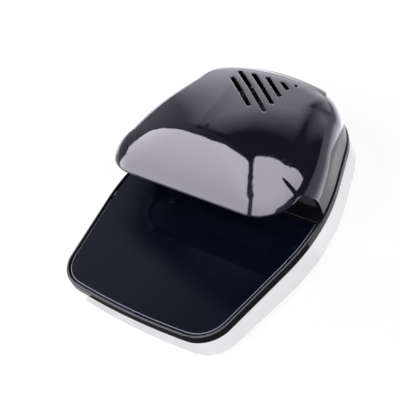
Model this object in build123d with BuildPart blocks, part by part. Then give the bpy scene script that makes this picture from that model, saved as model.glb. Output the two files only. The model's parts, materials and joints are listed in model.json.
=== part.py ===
"""Mini nail lamp with a press plate, a domed hood, LEDs and a small fan.

The lamp stands on its feet, +Z up, with the finger opening towards -Y.
The origin is under the middle of its length and width, on the table.
Lengths are in millimetres and angles in degrees.
"""

import os
from math import asin, atan2, cos, degrees, radians, sin, sqrt, tan

from build123d import *

os.makedirs("parts", exist_ok=True)

# Outline of the body, seen from above
body_length = 125.7
body_half_width = 47.3
widest_share = 0.4726
side_radius_share = 0.716
front_taper = 10.3
rear_taper = 18.5
front_bow = 2.4
front_corner_radius = 14.0
rear_bow = 6.5
rear_corner_share = 0.2068

# Base shell
foot_height = 0.8
floor_thickness = 1.8
base_top = 10.5
base_step = 0.3
base_front_draft = 0.7
base_flare = 1.8
base_foot_taper = 13.2
base_wall = 2.3
base_bottom_radius = 0.9
seam_clearance = 0.1

# Deck, the black tray that closes the base
deck_top = 14.1
deck_skin = 1.3
rim_width = 1.2
rim_edge_radius = 0.8
tongue_height = 1.1
tongue_inset = 0.8
tongue_width = 1.0
locator_height = 1.2
locator_width = 1.0
locator_gap = 0.6
locator_from_liner = 1.5
floor_overlap = 0.5

# Finger plate
plate_thickness = 1.6
plate_drop = 0.35
plate_gap = 0.45
plate_share = 0.5282
plate_edge_radius = 0.5
plate_rib_height = 1.0
plate_rib_width = 1.2
rib_from_side = 13.0
rib_end_gap = 1.0

# Hinge of the finger plate
hinge_from_plate_rear = 2.2
hinge_height = 8.9
hinge_from_centre = 30.0
knuckle_width = 6.0
knuckle_radius = 2.0
ear_width = 2.2
ear_gap = 0.2
pin_radius = 1.0
pivot_clearance = 0.05
fixed_clearance = 0.02
ear_foot_length = 4.0
pin_chamfer = 0.2

# Hooks that stop the plate at rest
hook_from_centre = 20.0
hook_from_front = 7.6
hook_width = 5.0
hook_thickness = 1.4
hook_toe = 1.6
hook_toe_height = 1.2
hook_toe_slope_share = 0.6
hook_reach = 6.0
hook_rest_gap = 0.1
catch_thickness = 1.0
catch_gap = 0.45
catch_overlap = 1.0
catch_from_front = 2.0

# Return springs
spring_from_centre = 24.0
spring_from_front = 22.8
spring_radius = 2.2
spring_wire = 0.25
spring_wire_sides = 6
spring_turns = 5
spring_post_radius = 1.5
spring_post_height = 1.4
spring_end_gap = 0.05

# Main board and its switch
board_half_length = 24.0
board_width = 27.0
board_share = 0.2609
board_thickness = 1.2
board_lift = 1.8
board_screw_inset = 3.0
board_corner_radius = 1.0
board_post_radius = 2.2
board_screw_radius = 0.85
board_screw_head_radius = 1.6
board_screw_head_height = 1.1
board_screw_hole_spare = 0.4
switch_size = 6.0
switch_height = 3.4
switch_chamfer = 0.4
switch_from_hinge = 11.95
plunger_radius = 1.7
plunger_stand = 1.0
plunger_depth = 1.0
plunger_travel = 0.6
plunger_chamfer = 0.3
plunger_clearance = 0.06
press_gap = 0.1

# Components on the board
chip_offset = 13.0
chip_length = 6.0
chip_width = 4.0
chip_height = 1.6
chip_leg_count = 4
chip_leg_pitch = 1.27
chip_leg_length = 0.8
chip_leg_width = 0.5
chip_leg_height = 0.5
can_radius = 2.5
can_height = 1.8
can_from_middle_share = 0.25
can_side_share = 0.2
resistor_length = 1.6
resistor_width = 0.8
resistor_height = 0.5
resistor_pitch_x = 3.2
resistor_pitch_y = 2.4

# Batteries and their bay
cell_radius = 5.25
cell_length = 44.5
cell_nub_radius = 1.9
cell_nub_length = 1.2
contact_tip_share = 0.6
cell_side_gap = 0.25
cell_spacing = 11.4
bay_share = 0.7068
bay_half_length = 24.6
bay_wall = 1.4
contact_thickness = 0.4
contact_height = 7.0
contact_width = 8.0
door_thickness = 1.0
door_gap = 0.25
door_seat_gap = 0.1
door_ledge = 1.6
door_corner_radius = 1.5
door_cell_gap = 0.3
groove_count = 4
groove_pitch = 1.8
groove_length = 14.0
groove_width = 0.9
groove_depth = 0.4
groove_from_edge = 3.0

# Screws: shares of the head's height or radius, and the room round a thread
screw_chamfer_share = 0.3
recess_length_share = 1.2
recess_width_share = 0.3
recess_depth_share = 0.5
screw_clearance = 0.05
screw_tip_gap = 0.5

# Case screws, from below through base and deck into the hood
case_screw_places = ((37.0, 0.6432), (21.0, 0.8699))
case_screw_radius = 1.25
case_head_radius = 2.4
case_head_height = 1.6
case_head_clearance = 0.2
case_head_lift = 3.6
case_screw_length = 18.0
case_boss_radius = 3.4
hood_boss_radius = 3.0

# Rubber feet
foot_radius = 4.0
foot_recess = 0.8
foot_clearance = 0.1
foot_edge_radius = 0.4
foot_places = ((30.0, 0.1034), (30.5, 0.8341))

# Hood
hood_inset = 0.6
hood_wall = 2.2
boss_sink = 1.1
lip_share = 0.3747
hood_depth = 14.5
front_lean = 32.0
front_roll_share = 0.08648
side_roll = 20.0
side_roll_power = 5.1
rear_roll_share = 0.1949
rear_roll_power = 2.47
roll_margin = 1.4
roll_steps = (0.34, 0.65, 1.0)
crown_height = 47.1
crown_share = 0.5704
crown_radius_across = 89.4
crown_radius_share = 1.2156
crown_edge_share = 1.24
crown_overreach = 10.0
crown_depth = 20.0
hood_corner_radius = 19.0
hood_corner_top_share = 0.057
hood_rear_top_radius = 10.0
mouth_foot_share = 0.5664
mouth_foot_lift = 1.9
mouth_arch_share = 1.24
mouth_corner_radius = 5.0
mouth_overcut = 1.0

# Vents, slots laid out in a right-angled triangle
vent_corner_x = 17.3
vent_corner_share = 0.864
vent_step_x = 7.1
vent_step_y = 5.35
vent_margin = 1.7
vent_width = 1.8
vent_count = 4
vent_short_trim = 0.21
vent_tip = ((-2.5, -0.4), (-0.2, 0.3), (0.0, -2.3))

# Liner, the ceiling and rear wall of the finger space
liner_thickness = 1.4
liner_gap = 0.3
liner_lift = 0.8
bulkhead_share = 0.5843
liner_bend_radius = 5.0
grille_count = 9
grille_pitch = 4.6
grille_width = 2.2
grille_height_share = 0.7
grille_centre_share = 0.58
liner_screw_place = (33.0, 0.5219)
liner_screw_radius = 0.85
liner_screw_head_radius = 1.7
liner_screw_head_height = 0.9
liner_screw_reach = 2.5
liner_screw_hole = 3.0
liner_boss_radius = 2.2

# LEDs
window_half_length = 22.0
window_width = 9.0
window_share = 0.496
window_gap = 0.15
window_flange = 1.0
window_flange_thickness = 0.6
led_count = 6
led_pitch = 7.0
led_size = 3.5
led_height = 1.1
led_body_share = 0.7
led_dome_share = 0.38
led_gap = 0.4
led_board_half_length = 28.5
led_board_width = 9.0
led_board_thickness = 1.0
led_post_from_centre = 25.9
led_post_radius = 1.8
led_stake_radius = 0.9
led_stake_stand = 0.4

# Fan
fan_x = 2.0
fan_share = 0.7546
fan_size = 30.0
fan_thickness = 10.0
fan_lift = 7.9
fan_bore_radius = 13.8
fan_corner_radius = 3.0
fan_hole_spacing = 24.0
fan_hole_radius = 1.5
fan_screw_radius = 0.9
fan_screw_length = 14.0
fan_screw_head_radius = 1.6
fan_screw_head_height = 1.2
fan_post_radius = 2.6
fan_hub_radius = 6.4
fan_hub_height = 7.6
fan_hub_lift = 1.6
fan_hub_wall = 1.2
fan_hub_edge_radius = 0.8
fan_blade_count = 7
fan_blade_thickness = 0.8
fan_blade_pitch = 38.0
fan_blade_camber = 0.6
fan_blade_height_share = 0.7
fan_tip_gap = 0.4
fan_strut_width = 2.2
fan_strut_thickness = 1.2
fan_strut_count = 3
fan_strut_overlap = 0.5
fan_bush_radius = 2.0
fan_bush_height = 5.0
fan_shaft_radius = 0.75
fan_shaft_tip_gap = 0.4
fan_stator_radius = 4.6
fan_stator_slots = 4
fan_stator_slot_depth = 1.2
fan_stator_slot_width = 1.4
fan_stator_lower = 1.0

# Places worked out from the sizes above
front_y = -body_length / 2
rear_y = body_length / 2
widest_y = front_y + widest_share * body_length
side_radius = side_radius_share * body_length
rear_corner_radius = rear_corner_share * body_length
lip_height = crown_height - hood_depth
roll_top = crown_height + roll_margin
front_roll = front_roll_share * body_length
rear_roll = rear_roll_share * body_length
hood_corner_top_radius = hood_corner_top_share * body_length
crown_radius_along = crown_radius_share * body_length
crown_edge_radius = crown_edge_share * hood_depth
floor_bottom = foot_height
floor_top = floor_bottom + floor_thickness
deck_underside = deck_top - deck_skin
plate_top = deck_top - plate_drop
plate_bottom = plate_top - plate_thickness
plate_inset = rim_width + plate_gap
plate_rear_y = front_y + plate_share * body_length
hinge_y = plate_rear_y - hinge_from_plate_rear
lip_y = front_y + lip_share * body_length
crown_y = front_y + crown_share * body_length
mouth_foot_y = front_y + mouth_foot_share * body_length
mouth_foot_height = deck_top + mouth_foot_lift
ceiling_bottom = lip_height + liner_lift
ceiling_top = ceiling_bottom + liner_thickness
bulkhead_y = front_y + bulkhead_share * body_length
bulkhead_flat = ceiling_bottom - liner_bend_radius - deck_top
board_bottom = floor_top + board_lift
board_top = board_bottom + board_thickness
board_centre_y = front_y + board_share * body_length + board_width / 2
switch_y = hinge_y - switch_from_hinge
plunger_top = board_top + switch_height + plunger_stand
bay_y = front_y + bay_share * body_length
ledge_bottom = floor_bottom + door_thickness + door_seat_gap
cell_axis_height = floor_bottom + door_thickness + door_cell_gap + cell_radius
bay_half_width = cell_spacing / 2 + cell_radius + cell_side_gap
ledge_half_length = bay_half_length + door_ledge
ledge_half_width = bay_half_width + door_ledge
window_y = front_y + window_share * body_length
led_board_bottom = ceiling_top + window_flange_thickness + led_gap + led_height
fan_y = front_y + fan_share * body_length
fan_bottom = deck_top + fan_lift
fan_top = fan_bottom + fan_thickness
case_head_bottom = floor_bottom + case_head_lift
spring_y = front_y + spring_from_front
shaft_bottom = fan_bottom + fan_strut_thickness / 2

# Where a cylinder or a box stands on its place, or hangs from it
standing = (Align.CENTER, Align.CENTER, Align.MIN)
hanging = (Align.CENTER, Align.CENTER, Align.MAX)


def both_sides(places):
    """Turn (x, share of the length) places into points on both sides."""
    return [(side * x, front_y + share * body_length) for x, share in places for side in (-1, 1)]


case_points = both_sides(case_screw_places)
foot_points = both_sides(foot_places)
liner_points = both_sides((liner_screw_place,))
spring_points = [(-spring_from_centre, spring_y), (spring_from_centre, spring_y)]
board_screw_x = board_half_length - board_screw_inset
board_screw_y = board_width / 2 - board_screw_inset
corners = [(side, end) for side in (-1, 1) for end in (-1, 1)]
board_screw_points = [(side * board_screw_x, board_centre_y + end * board_screw_y) for side, end in corners]
half_spacing = fan_hole_spacing / 2
fan_points = [(fan_x + side * half_spacing, fan_y + end * half_spacing) for side, end in corners]


def mirrored(point):
    """The same point on the other side of the lamp."""
    return (-point[0], point[1])


def side_point(angle, inset=0.0):
    """Point on the round stretch of the side, at an angle from the widest place."""
    radius = side_radius - inset
    across = body_half_width - side_radius + radius * cos(radians(angle))
    return (across, widest_y + radius * sin(radians(angle)))


def corners_at(sketch, y):
    """Corners of a sketch that lie at one place along the body."""
    return sketch.vertices().filter_by_position(Axis.Y, y - 0.01, y + 0.01)


def rear_lines(start_angle, inset, rear_end):
    """Lines from the start of one round side, past the rear end, to the other."""
    start = side_point(start_angle, inset)
    middle = side_point((start_angle + rear_taper) / 2, inset)
    end = side_point(rear_taper, inset)
    corner_y = rear_end - rear_bow
    corner = (end[0] - (corner_y - end[1]) * tan(radians(rear_taper)), corner_y)
    return [
        ThreePointArc(start, middle, end, mode=Mode.PRIVATE),
        Line(end, corner, mode=Mode.PRIVATE),
        ThreePointArc(corner, (0, rear_end), mirrored(corner), mode=Mode.PRIVATE),
        Line(mirrored(corner), mirrored(end), mode=Mode.PRIVATE),
        ThreePointArc(mirrored(end), mirrored(middle), mirrored(start), mode=Mode.PRIVATE),
    ]


def whole_outline(front_end, spread, taper):
    """Closed outline from a front end to the rear, its sides pushed out by spread."""
    front_corner_y = front_end + front_bow
    side_start = side_point(-taper, -spread)
    corner_x = side_start[0] - (side_start[1] - front_corner_y) * tan(radians(taper))
    corner = (corner_x, front_corner_y)
    with BuildSketch() as outline:
        with BuildLine():
            ThreePointArc(mirrored(corner), (0, front_end), corner)
            Line(corner, side_start)
            add(rear_lines(-taper, -spread, rear_y))
            Line(mirrored(side_start), mirrored(corner))
        make_face()
        fillet(corners_at(outline, rear_y - rear_bow), rear_corner_radius)
        fillet(corners_at(outline, front_corner_y), front_corner_radius)
    return outline.sketch


def base_section(height, inset):
    """Outline of the base at one height: it flares towards the table, less so in front."""
    drop = (base_top - height) / (base_top - floor_bottom)
    taper = front_taper + (base_foot_taper - front_taper) * drop
    with BuildSketch() as section:
        add(whole_outline(front_y + base_front_draft * drop, base_flare * drop, taper))
        offset(amount=-inset)
    return section.sketch


def body_outline(inset=0.0, start=None, end=None):
    """Outline of the deck, drawn in by inset and cut to a stretch of its length."""
    with BuildSketch() as outline:
        add(whole_outline(front_y, 0, front_taper))
        if inset:
            offset(amount=-inset)
        if start is not None:
            with Locations((0, start)):
                Rectangle(body_length, body_length, align=(Align.CENTER, Align.MAX), mode=Mode.SUBTRACT)
        if end is not None:
            with Locations((0, end)):
                Rectangle(body_length, body_length, align=(Align.CENTER, Align.MIN), mode=Mode.SUBTRACT)
    return outline.sketch


def hood_section(height, shrink):
    """Outline of the hood at one height, drawn in by shrink."""
    rise = (height - deck_top) / (roll_top - deck_top)
    lip_rise = max(0.0, height - lip_height) / (roll_top - lip_height)
    front = lip_y + shrink + (height - lip_height) * tan(radians(front_lean)) + front_roll * lip_rise**2
    side = hood_inset + shrink + side_roll * rise**side_roll_power
    rear_end = rear_y - hood_inset - shrink - rear_roll * rise**rear_roll_power
    start_angle = degrees(asin((front - widest_y) / (side_radius - side)))
    start = side_point(start_angle, side)
    front_radius = hood_corner_radius + (hood_corner_top_radius - hood_corner_radius) * rise**3
    rear_radius = rear_corner_radius + (hood_rear_top_radius - rear_corner_radius) * rise**2
    with BuildSketch() as section:
        with BuildLine():
            Line(mirrored(start), start)
            add(rear_lines(start_angle, side, rear_end))
        make_face()
        fillet(corners_at(section, rear_end - rear_bow), rear_radius - shrink)
        fillet(corners_at(section, front), front_radius - shrink)
    return section.sketch


def hood_form(shrink):
    """Closed dome of the hood, drawn in by shrink, from the deck to the crown."""
    heights = [deck_top, (deck_top + lip_height) / 2, lip_height]
    heights += [lip_height + step * (roll_top - lip_height) for step in roll_steps]
    with BuildPart() as skirt:
        for height in heights:
            with BuildSketch(Plane.XY.offset(height)):
                add(hood_section(height, shrink))
        loft()
    crown_axis_height = crown_height - crown_radius_along
    half = body_half_width + crown_overreach
    sag = crown_radius_across - sqrt(crown_radius_across**2 - half**2)
    reach = crown_y + crown_radius_along - shrink
    cut_y = crown_y + crown_depth
    with BuildPart() as crown:
        with BuildSketch(Plane.XY.offset(crown_axis_height)):
            with BuildLine():
                ThreePointArc((-half, reach - sag), (0, reach), (half, reach - sag))
                Polyline((half, reach - sag), (half, cut_y), (-half, cut_y), (-half, reach - sag))
            make_face()
        revolve(axis=Axis((0, crown_y, crown_axis_height), (1, 0, 0)))
    with BuildPart() as form:
        add(skirt.part)
        add(crown.part, mode=Mode.INTERSECT)
        crown_face = form.faces().sort_by(Axis.Z)[-1]
        fillet(crown_face.edges(), crown_edge_radius - shrink)
    return form.part


hood_outside = hood_form(0.0)
hood_core = hood_form(boss_sink)
hood_inside = hood_form(hood_wall)
liner_space = hood_form(hood_wall + liner_gap)


def save(piece, name):
    """Label a finished piece and write its STEP file."""
    piece.part.label = name
    export_step(piece.part, f"parts/{name}.step")


def raised(points, height):
    """Points of a plan, lifted to one height."""
    return [(x, y, height) for x, y in points]


def drill(points, height, radius, depth, align=standing):
    """Round holes at several points, up or down from one height."""
    with Locations(*raised(points, height)):
        Cylinder(radius, depth, align=align, mode=Mode.SUBTRACT)


# White lower shell with the floor, bosses, posts and battery bay
with BuildPart() as base_shell:
    for height in (floor_bottom, base_top):
        with BuildSketch(Plane.XY.offset(height)):
            add(base_section(height, base_step))
    loft(ruled=True)
    fillet(base_shell.faces().sort_by(Axis.Z)[0].edges(), base_bottom_radius)
    for height in (floor_top, base_top):
        with BuildSketch(Plane.XY.offset(height)):
            add(base_section(height, base_wall))
    loft(ruled=True, mode=Mode.SUBTRACT)
    # Rebate that takes the tongue of the deck
    with BuildSketch(Plane.XY.offset(base_top - tongue_height - seam_clearance)):
        add(body_outline(tongue_inset - seam_clearance))
    extrude(amount=base_top, mode=Mode.SUBTRACT)
    # Bosses of the case screws
    with BuildSketch(Plane.XY.offset(floor_bottom)):
        with Locations(*case_points):
            Circle(case_boss_radius)
    extrude(amount=deck_underside - floor_bottom)
    # Posts of the main board and of the springs
    with BuildSketch(Plane.XY.offset(floor_bottom)):
        with Locations(*board_screw_points):
            Circle(board_post_radius)
    extrude(amount=board_bottom - floor_bottom)
    with BuildSketch(Plane.XY.offset(floor_bottom)):
        with Locations(*spring_points):
            Circle(spring_post_radius)
    extrude(amount=floor_thickness + spring_post_height)
    # Walls of the battery bay
    with BuildSketch(Plane.XY.offset(floor_bottom)):
        with Locations((0, bay_y)):
            Rectangle(2 * (bay_half_length + bay_wall), 2 * (bay_half_width + bay_wall))
    extrude(amount=cell_axis_height + cell_radius - floor_bottom)
    with BuildSketch(Plane.XY.offset(floor_top)):
        with Locations((0, bay_y)):
            Rectangle(2 * bay_half_length, 2 * bay_half_width)
    extrude(amount=base_top, mode=Mode.SUBTRACT)
    # Opening of the battery door, with a ledge that the door seats against
    with BuildSketch(Plane.XY.offset(floor_bottom)):
        with Locations((0, bay_y)):
            Rectangle(2 * bay_half_length, 2 * bay_half_width)
    extrude(amount=floor_thickness, mode=Mode.SUBTRACT)
    with BuildSketch(Plane.XY.offset(floor_bottom)):
        with Locations((0, bay_y)):
            RectangleRounded(2 * ledge_half_length, 2 * ledge_half_width, door_corner_radius)
    extrude(amount=ledge_bottom - floor_bottom, mode=Mode.SUBTRACT)
    # Ledges that hold down the hooks of the finger plate
    catch_y = front_y + hook_from_front - catch_gap
    catch_height = plate_bottom - hook_reach + hook_toe_height + hook_rest_gap
    with BuildSketch(Plane.XY.offset(catch_height)):
        with Locations((-hook_from_centre, catch_y), (hook_from_centre, catch_y)):
            Rectangle(
                hook_width + 2 * catch_overlap,
                hook_from_front - catch_from_front,
                align=(Align.CENTER, Align.MAX),
            )
    extrude(amount=catch_thickness)
    # Holes of the case screws and of the board screws
    drill(case_points, floor_bottom, case_screw_radius + screw_clearance, deck_top)
    case_head_depth = case_head_lift + case_head_height
    drill(case_points, floor_bottom, case_head_radius + case_head_clearance, case_head_depth)
    board_hole_depth = board_lift + board_screw_hole_spare
    drill(board_screw_points, board_bottom, board_screw_radius + screw_clearance, board_hole_depth, hanging)
    # Recesses of the feet
    drill(foot_points, floor_bottom, foot_radius + foot_clearance, foot_recess)
save(base_shell, "base_shell")

# Black deck: a rim around the finger plate and a floor under the hood
deck_floor_front = plate_rear_y + plate_gap
ear_offset = knuckle_width / 2 + ear_gap + ear_width / 2
ear_places = [side * hinge_from_centre + end * ear_offset for side, end in corners]
hinge_places = [(side * hinge_from_centre, hinge_y, hinge_height) for side in (-1, 1)]
with BuildPart() as deck:
    with BuildSketch(Plane.XY.offset(base_top)):
        add(body_outline())
    extrude(amount=deck_top - base_top)
    fillet(deck.faces().sort_by(Axis.Z)[-1].edges(), rim_edge_radius)
    with BuildSketch(Plane.XY.offset(base_top)):
        add(body_outline(rim_width))
    extrude(amount=deck_underside - base_top, mode=Mode.SUBTRACT)
    with BuildSketch(Plane.XY.offset(base_top)):
        add(body_outline(rim_width, end=deck_floor_front))
    extrude(amount=deck_top, mode=Mode.SUBTRACT)
    # Tongue that drops into the base
    with BuildSketch(Plane.XY.offset(base_top - tongue_height)):
        add(body_outline(tongue_inset))
        add(body_outline(tongue_inset + tongue_width), mode=Mode.SUBTRACT)
    extrude(amount=tongue_height)
    # Rib that locates the hood
    locator_inset = hood_inset + hood_wall + locator_gap
    with BuildSketch(Plane.XY.offset(deck_top)):
        add(body_outline(locator_inset, start=bulkhead_y + liner_thickness + locator_from_liner))
        add(body_outline(locator_inset + locator_width), mode=Mode.SUBTRACT)
    extrude(amount=locator_height)
    # Ears of the plate hinge
    for ear_x in ear_places:
        with BuildSketch(Plane.YZ.offset(ear_x - ear_width / 2)):
            with Locations((hinge_y, hinge_height)):
                Circle(knuckle_radius)
            ear_top = hinge_height + knuckle_radius
            ear_points = (
                (hinge_y, ear_top),
                (deck_floor_front + floor_overlap, ear_top),
                (deck_floor_front + floor_overlap, deck_underside + floor_overlap),
                (deck_floor_front + ear_foot_length, deck_underside + floor_overlap),
                (hinge_y, hinge_height - knuckle_radius),
                (hinge_y, ear_top),
            )
            with BuildLine():
                Polyline(*ear_points)
            make_face()
            with Locations((hinge_y, hinge_height)):
                Circle(pin_radius + fixed_clearance, mode=Mode.SUBTRACT)
        extrude(amount=ear_width)
    # Posts of the fan
    with BuildSketch(Plane.XY.offset(deck_underside)):
        with Locations(*fan_points):
            Circle(fan_post_radius)
    extrude(amount=fan_bottom - deck_underside)
    fan_hole_depth = fan_screw_length - fan_thickness + screw_tip_gap
    drill(fan_points, fan_bottom, fan_screw_radius + screw_clearance, fan_hole_depth, hanging)
    # Holes for the case screws
    drill(case_points, deck_underside, case_screw_radius + screw_clearance, deck_skin)
save(deck, "deck")

# Finger plate with its ribs, hinge knuckles, hooks and pegs
with BuildPart() as finger_plate:
    with BuildSketch(Plane.XY.offset(plate_bottom)):
        add(body_outline(plate_inset, end=plate_rear_y))
    extrude(amount=plate_thickness)
    fillet(finger_plate.faces().sort_by(Axis.Z)[-1].edges(), plate_edge_radius)
    # Border rib and cross ribs underneath
    rib_inset = plate_inset + plate_rib_width
    rib_end_y = hinge_y - knuckle_radius - rib_end_gap
    with BuildSketch(Plane.XY.offset(plate_bottom)):
        add(body_outline(rib_inset, end=rib_end_y))
        add(body_outline(rib_inset + plate_rib_width, end=rib_end_y - plate_rib_width), mode=Mode.SUBTRACT)
        for rib_x in (-rib_from_side, rib_from_side):
            with Locations((rib_x, rib_end_y)):
                rib_length = rib_end_y - front_y - rib_inset - rib_end_gap
                Rectangle(plate_rib_width, rib_length, align=(Align.CENTER, Align.MAX))
    extrude(amount=-plate_rib_height)
    for side in (-1, 1):
        with BuildSketch(Plane.YZ.offset(side * hinge_from_centre - knuckle_width / 2)):
            with Locations((hinge_y, hinge_height)):
                Circle(knuckle_radius)
                Rectangle(2 * knuckle_radius, plate_bottom - hinge_height, align=(Align.CENTER, Align.MIN))
        extrude(amount=knuckle_width)
    with Locations(*hinge_places):
        Cylinder(pin_radius + pivot_clearance, knuckle_width, rotation=(0, 90, 0), mode=Mode.SUBTRACT)
    # Hooks that reach under the ledges of the base
    hook_y = front_y + hook_from_front
    for side in (-1, 1):
        with BuildSketch(Plane.YZ.offset(side * hook_from_centre - hook_width / 2)):
            with BuildLine():
                Polyline(
                    (hook_y, plate_bottom),
                    (hook_y + hook_thickness, plate_bottom),
                    (hook_y + hook_thickness, plate_bottom - hook_reach),
                    (hook_y - hook_toe * hook_toe_slope_share, plate_bottom - hook_reach),
                    (hook_y - hook_toe, plate_bottom - hook_reach + hook_toe_height),
                    (hook_y, plate_bottom - hook_reach + hook_toe_height),
                    (hook_y, plate_bottom),
                )
            make_face()
        extrude(amount=hook_width)
    # Pegs that centre the springs, and the peg that presses the switch
    with BuildSketch(Plane.XY.offset(plate_bottom)):
        with Locations(*spring_points):
            Circle(spring_post_radius)
    extrude(amount=-spring_post_height)
    with BuildSketch(Plane.XY.offset(plate_bottom)):
        with Locations((0, switch_y)):
            Circle(plunger_radius)
    extrude(amount=-(plate_bottom - plunger_top - press_gap))
save(finger_plate, "finger_plate")

# Pins of the plate hinge
with BuildPart() as hinge_pins:
    with Locations(*hinge_places):
        Cylinder(pin_radius, 2 * ear_offset + ear_width, rotation=(0, 90, 0))
    chamfer(hinge_pins.edges().filter_by(GeomType.CIRCLE), pin_chamfer)
save(hinge_pins, "hinge_pins")

# Springs under the finger plate
spring_height = plate_bottom - floor_top - 2 * spring_wire - 2 * spring_end_gap


def coil_spring(x, y):
    """A compression spring of round wire at one point, from the floor to the plate."""
    wire_bottom = floor_top + spring_end_gap + spring_wire
    with BuildPart() as coil:
        with BuildLine(Plane.XY.offset(wire_bottom)):
            Helix(spring_height / spring_turns, spring_height, spring_radius, center=(x, y, 0))
        with BuildSketch(Plane(origin=(x + spring_radius, y, wire_bottom), z_dir=(0, 1, 0))):
            RegularPolygon(spring_wire, spring_wire_sides)
        sweep(is_frenet=True)
    return coil.part


with BuildPart() as return_spring_left:
    add(coil_spring(*spring_points[0]))
save(return_spring_left, "return_spring_left")

with BuildPart() as return_spring_right:
    add(coil_spring(*spring_points[1]))
save(return_spring_right, "return_spring_right")

# Main circuit board
with BuildPart() as circuit_board:
    with BuildSketch(Plane.XY.offset(board_bottom)):
        with Locations((0, board_centre_y)):
            RectangleRounded(2 * board_half_length, board_width, board_corner_radius)
        with Locations(*board_screw_points):
            Circle(board_screw_radius + screw_clearance, mode=Mode.SUBTRACT)
    extrude(amount=board_thickness)
save(circuit_board, "circuit_board")

# Parts soldered to the board: two chips, two capacitor cans and small resistors
with BuildPart() as board_components:
    with BuildSketch(Plane.XY.offset(board_top)):
        with Locations((-chip_offset, board_centre_y)):
            Rectangle(chip_length, chip_width)
        with Locations((chip_offset, board_centre_y)):
            Rectangle(chip_width, chip_width)
    extrude(amount=chip_height)
    with BuildSketch(Plane.XY.offset(board_top)):
        with Locations((-chip_offset, board_centre_y)):
            with GridLocations(chip_leg_pitch, chip_width + chip_leg_length, chip_leg_count, 2):
                Rectangle(chip_leg_width, chip_leg_length)
    extrude(amount=chip_leg_height)
    with BuildSketch(Plane.XY.offset(board_top)):
        can_offset = can_from_middle_share * board_width
        can_points = (
            (chip_offset, board_centre_y + can_offset),
            (-can_side_share * board_width, board_centre_y - can_offset),
        )
        with Locations(*can_points):
            Circle(can_radius)
    extrude(amount=can_height)
    with BuildSketch(Plane.XY.offset(board_top)):
        with Locations((0, board_centre_y)):
            with GridLocations(resistor_pitch_x, resistor_pitch_y, 3, 2):
                Rectangle(resistor_length, resistor_width)
    extrude(amount=resistor_height)
save(board_components, "board_components")

# Push switch under the plate, with its moving plunger
with BuildPart() as switch_body:
    with BuildSketch(Plane.XY.offset(board_top)):
        with Locations((0, switch_y)):
            Rectangle(switch_size, switch_size)
    extrude(amount=switch_height)
    chamfer(switch_body.faces().sort_by(Axis.Z)[-1].edges(), switch_chamfer)
    well_depth = plunger_depth + plunger_travel + press_gap
    drill([(0, switch_y)], board_top + switch_height, plunger_radius + plunger_clearance, well_depth, hanging)
save(switch_body, "switch_body")

with BuildPart() as switch_plunger:
    with Locations((0, switch_y, plunger_top)):
        Cylinder(plunger_radius, plunger_stand + plunger_depth, align=hanging)
    chamfer(switch_plunger.faces().sort_by(Axis.Z)[-1].edges(), plunger_chamfer)
save(switch_plunger, "switch_plunger")


def screws(points, seat, up, head, shaft):
    """Pan-head screws whose shafts run up or down from their seat, with a cross recess.

    The head and the shaft are each a radius and a length.
    """
    head_radius, head_height = head
    toward, head_end, shaft_side, head_side = (1, 0, standing, hanging) if up else (-1, -1, hanging, standing)
    recess_length = head_radius * recess_length_share
    recess_width = head_radius * recess_width_share
    recess_depth = head_height * recess_depth_share
    fasteners = []
    for x, y in points:
        with BuildPart() as fastener:
            with Locations((x, y, seat)):
                Cylinder(head_radius, head_height, align=head_side)
                Cylinder(*shaft, align=shaft_side)
            chamfer(fastener.edges().sort_by(Axis.Z)[head_end], head_height * screw_chamfer_share)
            with Locations((x, y, seat - toward * head_height)):
                for across, along in ((recess_length, recess_width), (recess_width, recess_length)):
                    Box(across, along, recess_depth, align=shaft_side, mode=Mode.SUBTRACT)
        fasteners.append(fastener.part)
    return fasteners


with BuildPart() as board_screws:
    board_screw_head = (board_screw_head_radius, board_screw_head_height)
    board_screw_shaft = (board_screw_radius, board_thickness + board_lift)
    add(screws(board_screw_points, board_top, False, board_screw_head, board_screw_shaft))
save(board_screws, "board_screws")

case_seat = case_head_bottom + case_head_height
with BuildPart() as case_screws:
    case_head = (case_head_radius, case_head_height)
    add(screws(case_points, case_seat, True, case_head, (case_screw_radius, case_screw_length)))
save(case_screws, "case_screws")

# Batteries, lying across the body side by side
with BuildPart() as batteries:
    for side in (-1, 1):
        cell_y = bay_y + side * cell_spacing / 2
        with Locations((0, cell_y, cell_axis_height)):
            Cylinder(cell_radius, cell_length - 2 * cell_nub_length, rotation=(0, 90, 0))
        with Locations((side * (cell_length / 2 - cell_nub_length), cell_y, cell_axis_height)):
            Cylinder(
                cell_nub_radius,
                cell_nub_length,
                rotation=(0, 90, 0),
                align=(Align.CENTER, Align.CENTER, Align.MIN if side > 0 else Align.MAX),
            )
save(batteries, "batteries")

# Contact plates at both ends of the bay, each with a pressed dome
with BuildPart() as battery_contacts:
    for end in (-1, 1):
        for side in (-1, 1):
            cell_y = bay_y + side * cell_spacing / 2
            plate_face = bay_half_length - contact_thickness
            with Locations((end * (bay_half_length - contact_thickness / 2), cell_y, cell_axis_height)):
                Box(contact_thickness, contact_width, contact_height)
            with Locations((end * plate_face, cell_y, cell_axis_height)):
                Cone(
                    cell_nub_radius,
                    cell_nub_radius * contact_tip_share,
                    plate_face - cell_length / 2 - door_cell_gap,
                    rotation=(0, -90 * end, 0),
                    align=standing,
                )
save(battery_contacts, "battery_contacts")

# Battery door with grip grooves
with BuildPart() as battery_door:
    with BuildSketch(Plane.XY.offset(floor_bottom)):
        with Locations((0, bay_y)):
            RectangleRounded(
                2 * (ledge_half_length - door_gap),
                2 * (ledge_half_width - door_gap),
                door_corner_radius,
            )
    extrude(amount=door_thickness)
    with BuildSketch(Plane.XY.offset(floor_bottom)):
        for groove in range(groove_count):
            with Locations((0, bay_y - bay_half_width + groove_from_edge + groove_pitch * groove)):
                SlotOverall(groove_length, groove_width)
    extrude(amount=groove_depth, mode=Mode.SUBTRACT)
save(battery_door, "battery_door")

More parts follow.
